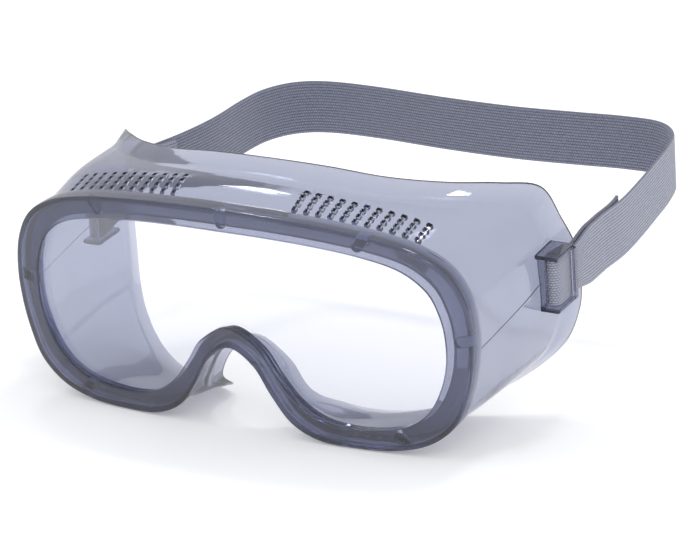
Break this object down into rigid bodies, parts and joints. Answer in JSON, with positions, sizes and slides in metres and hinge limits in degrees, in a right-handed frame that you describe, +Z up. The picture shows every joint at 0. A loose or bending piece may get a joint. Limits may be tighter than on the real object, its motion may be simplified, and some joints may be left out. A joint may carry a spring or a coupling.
{
  "type": "safety goggles",
  "caption": "Direct-vent safety goggles: a soft clear moulded body holds a curved lens and swings on an elastic head strap.",
  "frame": {"origin": "on the floor under the middle of the bounding box, with the goggles standing on the bottom of the rim and cheeks", "axes": "+Z up, the lens faces -Y, the wearer's head is at +Y, +X is the wearer's left"},
  "size_m": [0.175, 0.1766, 0.0828],
  "materials": {
    "clear_pvc": "soft clear PVC with a blue-grey tint, glossy, faint mould lines",
    "lens": "clear polished polycarbonate",
    "webbing": "grey knitted elastic with ribs along its length"
  },
  "bodies": {
    "goggles": {"frame_body": "clear_pvc", "lens": "lens", "strap_loop_left": "webbing", "strap_loop_right": "webbing"},
    "strap": {"strap_band": "webbing", "strap_tail_left": "webbing", "strap_tail_right": "webbing"}
  },
  "joints": [
    {"name": "strap_swing", "type": "hinge", "parent": "goggles", "child": "strap", "pos_m": [0, 0.00762, 0.05264], "axis": [1, 0, 0], "range_deg": [-40, 60]}
  ]
}
